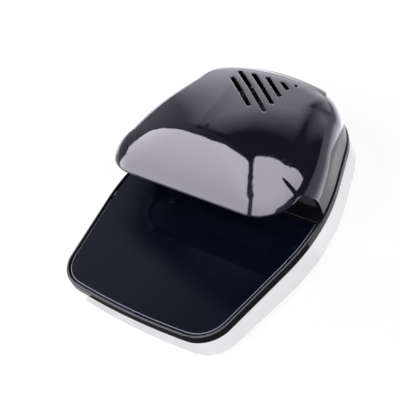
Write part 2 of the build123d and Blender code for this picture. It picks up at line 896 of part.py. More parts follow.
# Rubber feet
with BuildPart() as rubber_feet:
    with Locations(*raised(foot_points, 0)):
        Cylinder(foot_radius, foot_height + foot_recess, align=standing)
    fillet(rubber_feet.edges().group_by(Axis.Z)[0], foot_edge_radius)
save(rubber_feet, "rubber_feet")

# Bosses inside the hood, for the case screws and the liner screws
with BuildPart() as hood_bosses:
    with BuildSketch(Plane.XY.offset(deck_top)):
        with Locations(*case_points):
            Circle(hood_boss_radius)
    extrude(amount=crown_height - deck_top)
    with BuildSketch(Plane.XY.offset(ceiling_top)):
        with Locations(*liner_points):
            Circle(liner_boss_radius)
    extrude(amount=crown_height - ceiling_top)
    add(hood_core, mode=Mode.INTERSECT)

# Hood with its mouth and vents
vent_corner_y = front_y + vent_corner_share * body_length
with BuildPart() as hood_shell:
    add(hood_outside)
    add(hood_inside, mode=Mode.SUBTRACT)
    # Finger mouth, cut across the whole width
    with BuildSketch(Plane.YZ) as mouth:
        with BuildLine():
            arch_start = (mouth_foot_y, mouth_foot_height)
            arch_rise = lip_height - mouth_foot_height
            mouth_arch_radius = mouth_arch_share * arch_rise
            arch_run = mouth_arch_radius - sqrt(mouth_arch_radius**2 - arch_rise**2)
            half_rise = arch_rise / 2
            half_run = mouth_arch_radius - sqrt(mouth_arch_radius**2 - half_rise**2)
            arch_middle = (mouth_foot_y - half_run, mouth_foot_height + half_rise)
            arch_end = (mouth_foot_y - arch_run, lip_height)
            ThreePointArc(arch_start, arch_middle, arch_end)
            Polyline(
                arch_end,
                (front_y, lip_height),
                (front_y, deck_top - mouth_overcut),
                (mouth_foot_y, deck_top - mouth_overcut),
                arch_start,
            )
        make_face()
        arch_corner = mouth.vertices().sort_by_distance(Vector(arch_end[0], arch_end[1], 0))[0]
        fillet(arch_corner, mouth_corner_radius)
    extrude(amount=body_half_width + mouth_overcut, both=True, mode=Mode.SUBTRACT)
    add(hood_bosses.part)
    case_hole_depth = case_seat + case_screw_length - deck_top + screw_tip_gap
    drill(case_points, deck_top, case_screw_radius + screw_clearance, case_hole_depth)
    drill(liner_points, ceiling_top, liner_screw_radius + screw_clearance, liner_screw_hole)
    # Vents
    with BuildSketch(Plane.XY.offset(ceiling_top)):
        for step in range(1, vent_count + 2):
            start = (vent_corner_x - vent_step_x * step, vent_corner_y - vent_margin)
            finish = (vent_corner_x - vent_margin, vent_corner_y - vent_step_y * step)
            trim = vent_short_trim if step > vent_count else 0.0
            run = (finish[0] - start[0], finish[1] - start[1])
            length = sqrt(run[0] ** 2 + run[1] ** 2) * (1 - 2 * trim)
            middle = ((start[0] + finish[0]) / 2, (start[1] + finish[1]) / 2)
            with Locations(middle):
                SlotOverall(length, vent_width, rotation=degrees(atan2(run[1], run[0])))
        Polygon(*[(vent_corner_x + x, vent_corner_y + y) for x, y in vent_tip], align=None)
    extrude(amount=crown_height, mode=Mode.SUBTRACT)
save(hood_shell, "hood_shell")

# Liner: the ceiling and rear wall of the finger space
with BuildPart() as hood_liner:
    with BuildSketch(Plane.YZ) as profile:
        with BuildLine():
            Polyline(
                (front_y, ceiling_bottom),
                (bulkhead_y, ceiling_bottom),
                (bulkhead_y, deck_top + window_gap),
                (bulkhead_y + liner_thickness, deck_top + window_gap),
                (bulkhead_y + liner_thickness, ceiling_top),
                (front_y, ceiling_top),
                (front_y, ceiling_bottom),
            )
        make_face()
        bend = profile.vertices().sort_by_distance(Vector(bulkhead_y, ceiling_bottom, 0))[0]
        fillet(bend, liner_bend_radius)
        bend = profile.vertices().sort_by_distance(Vector(bulkhead_y + liner_thickness, ceiling_top, 0))[0]
        fillet(bend, liner_bend_radius + liner_thickness)
    extrude(amount=body_half_width, both=True)
    add(liner_space, mode=Mode.INTERSECT)
    # Grille that lets the fan air through
    grille_centre = deck_top + grille_centre_share * bulkhead_flat
    with BuildSketch(Plane.XZ.offset(-bulkhead_y - liner_thickness)):
        for slot in range(grille_count):
            with Locations(((slot - (grille_count - 1) / 2) * grille_pitch, grille_centre)):
                SlotOverall(grille_height_share * bulkhead_flat, grille_width, rotation=90)
    extrude(amount=liner_thickness, mode=Mode.SUBTRACT)
    # Posts that carry the LED board, with stakes through it
    led_post_points = [(side * led_post_from_centre, window_y) for side in (-1, 1)]
    led_post_height = led_board_bottom - ceiling_top
    with Locations(*raised(led_post_points, ceiling_top)):
        Cylinder(led_post_radius, led_post_height, align=standing)
        Cylinder(led_stake_radius, led_post_height + led_board_thickness + led_stake_stand, align=standing)
    with Locations((0, window_y, ceiling_bottom)):
        Box(2 * window_half_length, window_width, liner_thickness, align=standing, mode=Mode.SUBTRACT)
    drill(liner_points, ceiling_bottom, liner_screw_radius + screw_clearance, liner_thickness)
save(hood_liner, "hood_liner")

with BuildPart() as liner_screws:
    liner_screw_head = (liner_screw_head_radius, liner_screw_head_height)
    liner_screw_shaft = (liner_screw_radius, liner_thickness + liner_screw_reach)
    add(screws(liner_points, ceiling_bottom, True, liner_screw_head, liner_screw_shaft))
save(liner_screws, "liner_screws")

# Window under the LEDs
with BuildPart() as led_window:
    with Locations((0, window_y, ceiling_bottom)):
        Box(
            2 * (window_half_length - window_gap),
            window_width - 2 * window_gap,
            liner_thickness,
            align=standing,
        )
    with Locations((0, window_y, ceiling_top)):
        Box(
            2 * (window_half_length + window_flange),
            window_width + 2 * window_flange,
            window_flange_thickness,
            align=standing,
        )
save(led_window, "led_window")

# LED board and the LEDs under it
with BuildPart() as led_board:
    with BuildSketch(Plane.XY.offset(led_board_bottom)):
        with Locations((0, window_y)):
            RectangleRounded(2 * led_board_half_length, led_board_width, board_corner_radius)
        with Locations(*led_post_points):
            Circle(led_stake_radius + fixed_clearance, mode=Mode.SUBTRACT)
    extrude(amount=led_board_thickness)
save(led_board, "led_board")

with BuildPart() as leds:
    with Locations((0, window_y, led_board_bottom)):
        with GridLocations(led_pitch, 1, led_count, 1):
            Box(led_size, led_size, led_height * led_body_share, align=hanging)
            Cylinder(led_size * led_dome_share, led_height, align=hanging)
save(leds, "leds")

# Fan: frame, coils, rotor, shaft and screws
hub_bottom = fan_bottom + fan_hub_lift
with BuildPart() as fan_frame:
    with BuildSketch(Plane.XY.offset(fan_bottom)):
        with Locations((fan_x, fan_y)):
            RectangleRounded(fan_size, fan_size, fan_corner_radius)
            Circle(fan_bore_radius, mode=Mode.SUBTRACT)
        with Locations(*fan_points):
            Circle(fan_hole_radius, mode=Mode.SUBTRACT)
    extrude(amount=fan_thickness)
    with BuildSketch(Plane.XY.offset(fan_bottom)):
        with Locations((fan_x, fan_y)):
            Circle(fan_hub_radius)
            with PolarLocations(0, fan_strut_count):
                strut_length = fan_bore_radius + fan_strut_overlap
                Rectangle(strut_length, fan_strut_width, align=(Align.MIN, Align.CENTER))
    extrude(amount=fan_strut_thickness)
    with BuildSketch(Plane.XY.offset(fan_bottom)):
        with Locations((fan_x, fan_y)):
            Circle(fan_bush_radius)
    extrude(amount=fan_strut_thickness + fan_bush_height)
    drill([(fan_x, fan_y)], shaft_bottom, fan_shaft_radius + pivot_clearance, fan_thickness)
save(fan_frame, "fan_frame")

with BuildPart() as fan_stator:
    with BuildSketch(Plane.XY.offset(hub_bottom)):
        with Locations((fan_x, fan_y)):
            Circle(fan_stator_radius)
            with PolarLocations(fan_stator_radius, fan_stator_slots):
                Rectangle(2 * fan_stator_slot_depth, fan_stator_slot_width, mode=Mode.SUBTRACT)
            Circle(fan_bush_radius + fixed_clearance, mode=Mode.SUBTRACT)
    extrude(amount=fan_bush_height - fan_stator_lower)
save(fan_stator, "fan_stator")

with BuildPart() as fan_rotor:
    with Locations((fan_x, fan_y, hub_bottom)):
        Cylinder(fan_hub_radius, fan_hub_height, align=standing)
    fillet(fan_rotor.edges().group_by(Axis.Z)[-1], fan_hub_edge_radius)
    blade_height = fan_hub_height * fan_blade_height_share
    blade_rise = blade_height / 2 * cos(radians(fan_blade_pitch))
    blade_run = blade_height / 2 * sin(radians(fan_blade_pitch))
    blade_root = fan_hub_radius - fan_hub_wall / 2
    for blade in range(fan_blade_count):
        turn = radians(360 * blade / fan_blade_count)
        outward = (cos(turn), sin(turn), 0)
        around = (-sin(turn), cos(turn), 0)
        root_x = fan_x + blade_root * outward[0]
        root_y = fan_y + blade_root * outward[1]
        root = (root_x, root_y, hub_bottom + fan_hub_height / 2)
        with BuildSketch(Plane(origin=root, x_dir=around, z_dir=outward)):
            with BuildLine():
                for shift in (0, fan_blade_thickness):
                    ThreePointArc(
                        (shift - blade_run, -blade_rise),
                        (shift + fan_blade_camber, 0),
                        (shift + blade_run, blade_rise),
                    )
                for side in (-1, 1):
                    foot = side * blade_run
                    Line((foot, side * blade_rise), (foot + fan_blade_thickness, side * blade_rise))
            make_face()
        extrude(amount=fan_bore_radius - 2 * fan_tip_gap - blade_root)
    drill([(fan_x, fan_y)], hub_bottom, fan_hub_radius - fan_hub_wall, fan_hub_height - fan_hub_wall)
    shaft_hole_depth = fan_hub_height - fan_shaft_tip_gap
    drill([(fan_x, fan_y)], hub_bottom, fan_shaft_radius + fixed_clearance, shaft_hole_depth)
save(fan_rotor, "fan_rotor")

with BuildPart() as fan_shaft:
    shaft_top = hub_bottom + fan_hub_height - fan_shaft_tip_gap
    with Locations((fan_x, fan_y, shaft_bottom + pivot_clearance)):
        Cylinder(fan_shaft_radius, shaft_top - shaft_bottom - 2 * pivot_clearance, align=standing)
save(fan_shaft, "fan_shaft")

with BuildPart() as fan_screws:
    fan_screw_head = (fan_screw_head_radius, fan_screw_head_height)
    add(screws(fan_points, fan_top, False, fan_screw_head, (fan_screw_radius, fan_screw_length)))
save(fan_screws, "fan_screws")
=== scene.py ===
import json
from math import cos, pi, radians, sin

import bpy
from mathutils import Matrix, Vector


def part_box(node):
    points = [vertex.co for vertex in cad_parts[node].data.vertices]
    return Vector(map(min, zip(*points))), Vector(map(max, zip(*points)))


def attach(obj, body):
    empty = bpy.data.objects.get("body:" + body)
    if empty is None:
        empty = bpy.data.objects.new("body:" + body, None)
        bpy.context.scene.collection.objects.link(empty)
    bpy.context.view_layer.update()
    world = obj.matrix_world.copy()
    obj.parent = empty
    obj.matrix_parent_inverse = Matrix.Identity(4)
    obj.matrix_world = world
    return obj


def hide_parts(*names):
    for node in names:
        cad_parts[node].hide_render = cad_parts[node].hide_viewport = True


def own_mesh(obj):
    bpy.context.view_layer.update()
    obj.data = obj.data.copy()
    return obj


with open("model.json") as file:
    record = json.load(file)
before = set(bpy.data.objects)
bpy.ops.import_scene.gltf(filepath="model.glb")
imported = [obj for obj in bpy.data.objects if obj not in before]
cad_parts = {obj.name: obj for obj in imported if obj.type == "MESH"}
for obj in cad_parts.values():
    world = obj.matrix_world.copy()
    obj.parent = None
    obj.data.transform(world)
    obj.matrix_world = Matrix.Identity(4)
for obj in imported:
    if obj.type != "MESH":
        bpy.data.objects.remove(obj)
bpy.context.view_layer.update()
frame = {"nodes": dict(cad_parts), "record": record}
bpy.context.scene.view_settings.view_transform = "Standard"
millimetre = 0.001
print("pieces from CAD:", len(frame["nodes"]))

# %% [markdown]
# The camera, the soft lamps and the windows that the gloss reflects are all placed
# by a direction from the nail lamp. Two angles say a direction more plainly than
# three coordinates do: one round the table and one up from it.


# %% Directions
def toward(azimuth, elevation):
    """Unit vector of a direction: azimuth from the front towards the right, in degrees."""
    around, up = radians(azimuth), radians(elevation)
    return Vector((sin(around) * cos(up), -cos(around) * cos(up), sin(up)))


print("front is", [round(v, 3) for v in toward(0, 0)], "and right is", [round(v, 3) for v in toward(90, 0)])

# %% [markdown]
# The camera looks down on the lamp from the front right, about 46 degrees above
# the table, and is rolled, so that the lamp lies across the picture. It could be
# placed by eye, but a lens and place worked out from the outline of the lamp keep
# every edge within a few pixels, so the measured values are written down here.

# %% Camera
picture_side = 400
sensor_width = 36.0
camera_azimuth = 49.64
camera_elevation = 46.21
camera_roll = radians(20.2)
camera_distance = 380.1 * millimetre
focal_pixels = 899.3
picture_offset_x = 30.2
picture_offset_y = 13.5
look_at = Vector((0.0, 3.15, 0.0)) * millimetre

toward_camera = toward(camera_azimuth, camera_elevation)
level_right = toward(camera_azimuth + 90, 0)
level_up = toward_camera.cross(level_right)
rolled_right = level_right * cos(camera_roll) - level_up * sin(camera_roll)
rolled_up = level_right * sin(camera_roll) + level_up * cos(camera_roll)

camera_data = bpy.data.cameras.new("picture_camera")
camera_data.sensor_width = sensor_width
camera_data.lens = sensor_width * focal_pixels / picture_side
camera_data.shift_x = -picture_offset_x / picture_side
camera_data.shift_y = picture_offset_y / picture_side
camera = bpy.data.objects.new("picture_camera", camera_data)
camera.matrix_world = Matrix((rolled_right, rolled_up, toward_camera)).transposed().to_4x4()
camera.location = look_at + toward_camera * camera_distance
bpy.context.scene.collection.objects.link(camera)
bpy.context.scene.camera = camera
print("lens", round(camera_data.lens, 1), "mm, camera at", [round(v, 3) for v in camera.location])

# %% [markdown]
# Shader nodes read badly as a long list of links. A small class that wraps a
# socket lets a finish be written as sums and products.


# %% Numbers that change over a surface
class Reading:
    """A number that changes over a surface, such as a mask or a noise."""

    def __init__(self, finish, socket):
        self.finish = finish
        self.socket = socket

    def math(self, operation, first, second):
        """The number that a Math node makes of two others."""
        node = self.finish.node("ShaderNodeMath", {"operation": operation}, {0: first, 1: second})
        return Reading(self.finish, node.outputs[0])

    def __add__(self, other):
        return self.math("ADD", self, other)

    def __radd__(self, other):
        return self.math("ADD", other, self)

    def __sub__(self, other):
        return self.math("SUBTRACT", self, other)

    def __rsub__(self, other):
        return self.math("SUBTRACT", other, self)

    def __mul__(self, other):
        return self.math("MULTIPLY", self, other)

    def __rmul__(self, other):
        return self.math("MULTIPLY", other, self)

    def __pow__(self, other):
        return self.math("POWER", self, other)

    def __rpow__(self, other):
        return self.math("POWER", other, self)

    def above(self, limit):
        """1 where the number is over the limit, 0 elsewhere."""
        return self.math("GREATER_THAN", self, limit)


print("numbers on a surface take +, -, * and **")

# %% [markdown]
# A second class holds one material. One method makes any node from its type, its
# settings and its inputs, and the others give names to the patterns that the
# finishes below are made from: a cloud, specks, a spread of values, a tint.


# %% Materials
class Finish:
    """One material: a shader and the nodes that feed it."""

    def __init__(self, name):
        self.material = bpy.data.materials.new(name)
        self.material.use_nodes = True
        self.start(self.material.node_tree)
        self.shader = self.node("ShaderNodeBsdfPrincipled")
        self.output = self.node("ShaderNodeOutputMaterial", {}, {"Surface": self.shader.outputs[0]})
        self.place = self.node("ShaderNodeTexCoord").outputs["Object"]

    def start(self, tree):
        """Begin with an empty node tree."""
        self.tree = tree
        self.tree.nodes.clear()

    @classmethod
    def on_tree(cls, tree):
        """The same expressions on another node tree, such as the world's."""
        finish = cls.__new__(cls)
        finish.start(tree)
        return finish

    def plug(self, node, key, value):
        """Feed a socket with a link, or set it to a plain value."""
        if isinstance(value, Reading):
            value = value.socket
        if isinstance(value, bpy.types.NodeSocket):
            self.tree.links.new(value, node.inputs[key])
        else:
            node.inputs[key].default_value = value

    def node(self, kind, settings=None, sockets=None):
        """Make a node from its type, its settings and what its sockets get."""
        node = self.tree.nodes.new(kind)
        for name, value in (settings or {}).items():
            setattr(node, name, value)
        for key, value in (sockets or {}).items():
            self.plug(node, key, value)
        return node

    def set(self, **values):
        """Feed the shader's sockets: Base_Color stands for Base Color, and so on."""
        for key, value in values.items():
            self.plug(self.shader, key.replace("_", " "), value)

    def axes(self):
        """The three object coordinates of a point, each as a number."""
        split = self.node("ShaderNodeSeparateXYZ", {}, {0: self.place})
        return [Reading(self, output) for output in split.outputs]

    def stretched(self, scale):
        """Object coordinates stretched by a scale along each axis."""
        sockets = {0: self.place, 1: scale}
        return self.node("ShaderNodeVectorMath", {"operation": "MULTIPLY"}, sockets).outputs[0]

    def noise(self, scale, detail, vector=None):
        """A cloudy pattern: a larger scale makes it finer, and detail adds smaller clouds."""
        sockets = {"Vector": vector or self.place, "Scale": scale, "Detail": detail}
        return Reading(self, self.node("ShaderNodeTexNoise", {}, sockets).outputs[0])

    def cells(self, scale):
        """Distance to the nearest of many scattered points, for specks and grain."""
        sockets = {"Vector": self.place, "Scale": scale}
        return Reading(self, self.node("ShaderNodeTexVoronoi", {}, sockets).outputs["Distance"])

    def spread(self, reading, low, high, to_low=0.0, to_high=1.0):
        """A number taken from one range to another, and held at the ends."""
        sockets = {"Value": reading, 1: low, 2: high, 3: to_low, 4: to_high}
        return Reading(self, self.node("ShaderNodeMapRange", {}, sockets).outputs[0])

    def tint(self, mask, first, second):
        """A colour between two colours, by a mask. The Mix node's sockets 6 and 7 are its colours."""
        return self.node("ShaderNodeMix", {"data_type": "RGBA"}, {0: mask, 6: first, 7: second}).outputs[2]

    def soft_edges(self, radius, samples=6):
        """The surface's normal with its sharp edges rounded over."""
        return self.node("ShaderNodeBevel", {"samples": samples}, {"Radius": radius}).outputs[0]

    def bump(self, height, strength, depth, under=None):
        """Small relief, on top of another normal if one is given."""
        sockets = {"Strength": strength, "Distance": depth, "Height": height}
        if under is not None:
            sockets["Normal"] = under
        return self.node("ShaderNodeBump", {}, sockets).outputs[0]

    def glow(self, colour, strength):
        """Make the surface shine instead of reflecting, evenly or by a number that changes over it."""
        sockets = {"Color": colour, "Strength": strength}
        if isinstance(strength, Reading):
            factors = {0: colour[:3], "Scale": strength}
            scaled = self.node("ShaderNodeVectorMath", {"operation": "SCALE"}, factors)
            sockets = {"Color": scaled.outputs[0], "Strength": 1.0}
        light = self.node("ShaderNodeEmission", {}, sockets)
        self.plug(self.output, "Surface", light.outputs[0])
        self.tree.nodes.remove(self.shader)

    def blend(self, mask, other):
        """Show another shader where the mask is 1."""
        sockets = {0: mask, 1: self.shader.outputs[0], 2: other.outputs[0]}
        self.plug(self.output, "Surface", self.node("ShaderNodeMixShader", {}, sockets).outputs[0])

    def seen_ray(self):
        """1 for a ray that shows the surface itself: from the camera, off gloss or through glass."""
        path = self.node("ShaderNodeLightPath")
        kinds = ("Is Camera Ray", "Is Glossy Ray", "Is Transmission Ray")
        camera_ray, glossy_ray, transmission_ray = [Reading(self, path.outputs[kind]) for kind in kinds]
        return camera_ray + glossy_ray + transmission_ray


def grey(level):
    """A neutral colour."""
    return (level, level, level, 1.0)


print("materials can be made")

# %% [markdown]
# The lamp stands on white card. The camera sees the card and the world as plain
# white, and so do reflections, as in a real white cove. Near the lamp the card is
# lit as well, at a fifth of its look, so that a faint shadow ties the lamp to the
# table. Farther off it is plain white, so that its far edge doesn't show.


# %% Floor
def stage_piece(name, points, faces):
    """A mesh that belongs to the stage and not to the nail lamp."""
    mesh = bpy.data.meshes.new(name)
    mesh.from_pydata(points, [], faces)
    piece = bpy.data.objects.new(name, mesh)
    bpy.context.scene.collection.objects.link(piece)
    return piece


floor_half = 1.5
floor_corners = [
    (-floor_half, -floor_half, 0),
    (floor_half, -floor_half, 0),
    (floor_half, floor_half, 0),
    (-floor_half, floor_half, 0),
]
shadow_share = 0.2
shadow_near = 0.2
shadow_far = 0.7
floor = stage_piece("floor", floor_corners, [(0, 1, 2, 3)])
paper = Finish("white_card")
paper_grain = paper.noise(scale=900.0, detail=3.0)
paper.set(
    Base_Color=paper.tint(paper_grain, grey(0.96), grey(0.99)),
    Roughness=paper.spread(paper_grain, 0.3, 0.7, 0.7, 0.85),
    Normal=paper.bump(paper_grain, strength=0.1, depth=0.1 * millimetre),
)
length = paper.node("ShaderNodeVectorMath", {"operation": "LENGTH"}, {0: paper.place})
reach = Reading(paper, length.outputs["Value"])
lit_share = paper.spread(reach, shadow_near, shadow_far, shadow_share, 0.0)
white_light = paper.node("ShaderNodeEmission", {}, {"Color": grey(1.0), "Strength": 1.0})
paper.blend(paper.seen_ray() * (1 - lit_share), white_light)
floor.data.materials.append(paper.material)
print("floor is", 2 * floor_half, "m wide")

# %% World
room_level = 0.5
world = bpy.data.worlds.new("studio")
bpy.context.scene.world = world
world.use_nodes = True
cove = Finish.on_tree(world.node_tree)
room = cove.node("ShaderNodeBackground", {}, {"Color": grey(1.0), "Strength": room_level})
backdrop = cove.node("ShaderNodeBackground", {}, {"Color": grey(1.0), "Strength": 1.0})
cove_sockets = {0: cove.seen_ray(), 1: room.outputs[0], 2: backdrop.outputs[0]}
cove_mix = cove.node("ShaderNodeMixShader", {}, cove_sockets)
cove.node("ShaderNodeOutputWorld", {}, {"Surface": cove_mix.outputs[0]})
print("world lights the lamp at", room_level, "and shows as white")

# %% [markdown]
# A gloss black form is drawn by what it reflects. The room round the lamp is dark
# and two large bright windows open in it, one at the front left and one overhead
# and to the right, with a thin bar between them: they give the hood its two pale
# shapes and the dark line. Flat panels could do it, but their borders would bend
# wrongly over the dome, so the windows are cut on a dome of their own, by the
# directions that their corners lie in: an azimuth and an elevation for each, in
# degrees. The room is seen in gloss only: the colours are lit by soft lamps that
# gloss doesn't see, so that each can be set without spoiling the other.


# %% Surfaces that only gloss sees
def gloss_only(name, points, faces):
    """A surface that only reflections see, and the finish that it will shine with."""
    surface = stage_piece(name, points, faces)
    surface.visible_camera = False
    surface.visible_diffuse = False
    surface.visible_shadow = False
    surface.visible_transmission = False
    finish = Finish(name)
    surface.data.materials.append(finish.material)
    return finish


def rings(rows, columns):
    """Faces between closed rings of points that lie one after another."""
    faces = []
    for row in range(rows - 1):
        for column in range(columns):
            here = row * columns + column
            beside = row * columns + (column + 1) % columns
            faces.append((here, beside, beside + columns, here + columns))
    return faces


print("one ring of four faces:", rings(2, 4))

# %% Windows
window_radius = 1.0
window_rings = 8
window_hub = 0.001
window_tint = (0.97, 0.95, 1.0, 1)
glow_bottom = 0.4 * window_radius
glow_top = 0.9 * window_radius


def room_window(name, middle, corners, low_light, high_light):
    """A window on the dome: rings of points from its middle out to its corners, brighter upwards."""
    centre = toward(*middle)
    border = [toward(*corner) for corner in corners]
    points = []
    for ring in range(window_rings + 1):
        share = max(ring / window_rings, window_hub)
        points += [centre.slerp(corner, share) * window_radius for corner in border]
    finish = gloss_only(name, points, rings(window_rings + 1, len(border)))
    height = finish.axes()[2]
    finish.glow(window_tint, finish.spread(height, glow_bottom, glow_top, low_light, high_light))


left_window = [
    (-20, 3), (-20.5, 15), (-20.5, 27), (-21.5, 37), (-24, 48), (-24, 60), (-28, 71), (-45, 80),
    (-130, 82.5), (-158, 75), (-151, 73), (-136, 71), (-123, 69), (-114, 65), (-99, 60), (-100, 53.5),
    (-106, 45.5), (-112, 30), (-110, 23), (-99, 24), (-86, 26), (-79, 26), (-72, 23), (-71, 15),
    (-72, 4), (-60, 0), (-43, 2),
]
right_window = [
    (-8, 12), (-9.9, 30.4), (-11.8, 39), (-15.4, 50), (-16.5, 64), (-18.3, 75), (-26, 85),
    (-165, 81.5), (-175, 69), (-175, 64), (175, 62), (165, 60), (158, 59), (151, 56), (142, 49),
    (135, 38), (131, 29), (127, 18), (121, 19), (110, 26), (99, 31), (78, 34), (56, 35), (44, 26),
    (15, 8),
]
room_window("left_window", (-70, 48), left_window, 7.8, 10.8)
room_window("right_window", (50, 62), right_window, 7.6, 9.8)
print("windows with", len(left_window), "and", len(right_window), "corners")

# %% [markdown]
# Behind the windows stands the room itself: dim walls under a darker ceiling. Two
# paler stretches of wall at the back make the sheen round the vents and on the
# hood's right side, and a nearly black patch gives the finger plate its dark half.
# One dome with soft-edged masks holds them all, because separate panels would show
# their borders in the gloss.

# %% Dim walls and ceiling
wall_radius = 1.25
wall_rows = 13
wall_columns = 48
wall_light = 0.42
ceiling_light = 0.18
ceiling_start = 0.74
ceiling_end = 0.82
grey_wall_light = 2.6
low_wall_light = 2.2
patch_darkness = 0.93
room_tint = (0.93, 0.92, 1.0, 1)

wall_points = [
    toward(360.0 * column / wall_columns, 90.0 * row / (wall_rows - 1)) * wall_radius
    for row in range(wall_rows)
    for column in range(wall_columns)
]
wall = gloss_only("room_wall", wall_points, rings(wall_rows, wall_columns))
across, along, height = [axis * (1 / wall_radius) for axis in wall.axes()]
outward = (1 - height * height) ** 0.5


def wall_patch(azimuth, edge, core, full_height, end_height):
    """1 on the wall round an azimuth and up to a height, and 0 elsewhere, with soft borders."""
    middle = toward(azimuth, 0)
    facing = (across * middle.x + along * middle.y) * outward ** -1
    return wall.spread(facing, edge, core) * wall.spread(height, full_height, end_height, 1.0, 0.0)


grey_wall = wall_patch(-158, 0.82, 0.98, 0.64, 0.80)
low_wall = wall_patch(172, 0.92, 0.975, 0.12, 0.60)
dark_patch = wall.spread(along, 0.325, 0.35) * wall.spread(across, -0.64, -0.61)
plain_room = wall.spread(height, ceiling_start, ceiling_end, wall_light, ceiling_light)
dim_room = plain_room * (1 - dark_patch * patch_darkness)
wall.glow(room_tint, dim_room + grey_wall * grey_wall_light + low_wall * low_wall_light)
print("room wall with", len(wall_points), "points")

# %% [markdown]
# Low, steep surfaces reflect the table. A black sheet in front keeps the tray's
# rim dark, as it is in the photograph, and bright sheets at the sides and the back
# make the far edges of the hood pale. The right one fades towards the right. The
# sheets are plain outlines just over the floor, because the gloss shows only where
# their borders lie.

# %% Sheets on the table
sheet_lift = 0.4 * millimetre
fade_start = 0.040
fade_end = 0.085


def table_sheet(name, corners, light, far_light=None):
    """A sheet on the table, seen in gloss only, with another light beyond the fade if one is given."""
    finish = gloss_only(name, [(x, y, sheet_lift) for x, y in corners], [tuple(range(len(corners)))])
    if far_light is not None:
        light = finish.spread(finish.axes()[0], fade_start, fade_end, light, far_light)
    finish.glow(room_tint, light)


black_sheet = [(-0.03, -0.5), (0.5, -0.5), (0.5, 0.2), (0.052, 0.0), (-0.03, 0.0)]
right_sheet = [(0.056, 0.003), (0.5, 0.21), (0.5, 0.5), (0.0, 0.5), (0.0, 0.072), (0.056, 0.072)]
left_sheet = [(-0.4, 0.0), (-0.055, 0.0), (-0.055, 0.4), (-0.4, 0.4)]
table_sheet("black_sheet", black_sheet, 0.12)
table_sheet("bright_sheet_right", right_sheet, 4.2, 0.9)
table_sheet("bright_sheet_left", left_sheet, 2.5)
print("three sheets lie", sheet_lift / millimetre, "mm over the table")

# %% [markdown]
# Two soft square lamps and the world light the colours. The lamps are large, so
# that shadows have soft borders, and gloss doesn't see them, so that they put no
# square spots on the hood. A ring of small lamps would need more care for the same.

# %% Soft lamps
lamp_distance = 1.2
lamp_side = 0.8


def soft_lamp(name, azimuth, elevation, level):
    """A square lamp in a direction; level is the white that it gives a card facing it."""
    data = bpy.data.lights.new(name, "AREA")
    data.shape = "SQUARE"
    data.size = lamp_side
    data.energy = level * pi * pi * lamp_distance * lamp_distance
    lamp = bpy.data.objects.new(name, data)
    direction = toward(azimuth, elevation)
    lamp.location = direction * lamp_distance
    lamp.rotation_euler = direction.to_track_quat("Z", "Y").to_euler()
    lamp.visible_glossy = False
    bpy.context.scene.collection.objects.link(lamp)
    print(name, "shines with", round(data.energy, 2), "W")


soft_lamp("front_lamp", -30.0, 50.0, 0.35)
soft_lamp("side_lamp", 80.0, 35.0, 0.25)

# %% [markdown]
# The hood, the deck and the finger plate are injection moulded in a glossy black
# plastic that is faintly blue. A flat black would look like a hole in the picture.
# Real gloss shows a slow waviness from the mould, hair-fine scratches and specks
# of dust, so roughness and bump carry those, and the colour drifts a little.

# %% Gloss black plastic
roughness_drift = 0.03
dust_roughness = 0.12
hairline_depth = 0.02


def gloss_black(name, base, drift, roughness, waviness, scratches, shine, shine_tint, edge):
    """Gloss plastic: roughness, waves and scratches go from 0 up, and edge is the rounding of its rims."""
    finish = Finish(name)
    cloud = finish.noise(scale=28.0, detail=2.0)
    swell = finish.noise(scale=55.0, detail=1.0)
    scratch = finish.noise(scale=160.0, detail=3.0, vector=finish.stretched((1.0, 14.0, 3.0)))
    hairline = finish.spread(scratch, 0.60, 0.66)
    dust = finish.spread(finish.cells(scale=520.0), 0.05, 0.09, 1.0, 0.0)
    clean = finish.spread(cloud, 0.3, 0.7, roughness, roughness + roughness_drift)
    height = swell * waviness + hairline * hairline_depth
    finish.set(
        Base_Color=finish.tint(cloud, base, drift),
        Roughness=clean + hairline * scratches + dust * dust_roughness,
        Specular_IOR_Level=shine,
        Specular_Tint=shine_tint,
        Normal=finish.bump(height, strength=0.25, depth=0.2 * millimetre, under=finish.soft_edges(edge)),
    )
    return finish


hood_black = gloss_black(
    "hood_black",
    base=(0.008, 0.0075, 0.014, 1),
    drift=(0.011, 0.010, 0.018, 1),
    roughness=0.02,
    waviness=0.05,
    scratches=0.02,
    shine=0.5,
    shine_tint=(0.97, 0.94, 1.0, 1),
    edge=1.0 * millimetre,
)
deck_black = gloss_black(
    "deck_black",
    base=(0.006, 0.006, 0.010, 1),
    drift=(0.009, 0.009, 0.013, 1),
    roughness=0.05,
    waviness=0.2,
    scratches=0.04,
    shine=0.2,
    shine_tint=(0.97, 0.95, 1.0, 1),
    edge=0.35 * millimetre,
)
plate_black = gloss_black(
    "plate_black",
    base=(0.0025, 0.003, 0.010, 1),
    drift=(0.0035, 0.0045, 0.014, 1),
    roughness=0.05,
    waviness=0.08,
    scratches=0.04,
    shine=0.45,
    shine_tint=(0.76, 0.82, 1.0, 1),
    edge=0.35 * millimetre,
)
print("gloss blacks: hood, deck and plate")

# %% [markdown]
# The lower shell is white plastic with a low sheen. Real plastic lets a little
# light in, but from this far off that hardly shows, so a plain surface is enough.
# It has the very fine orange peel of a textured mould.

# %% White shell
white_shell = Finish("white_shell")
peel = white_shell.noise(scale=1400.0, detail=2.0)
white_cloud = white_shell.noise(scale=30.0, detail=2.0)
white_shell.set(
    Base_Color=white_shell.tint(white_cloud, (0.84, 0.84, 0.86, 1), (0.88, 0.88, 0.89, 1)),
    Roughness=white_shell.spread(peel, 0.35, 0.65, 0.28, 0.40),
    Normal=white_shell.bump(peel, strength=0.12, depth=0.1 * millimetre),
)
print("white shell ready")

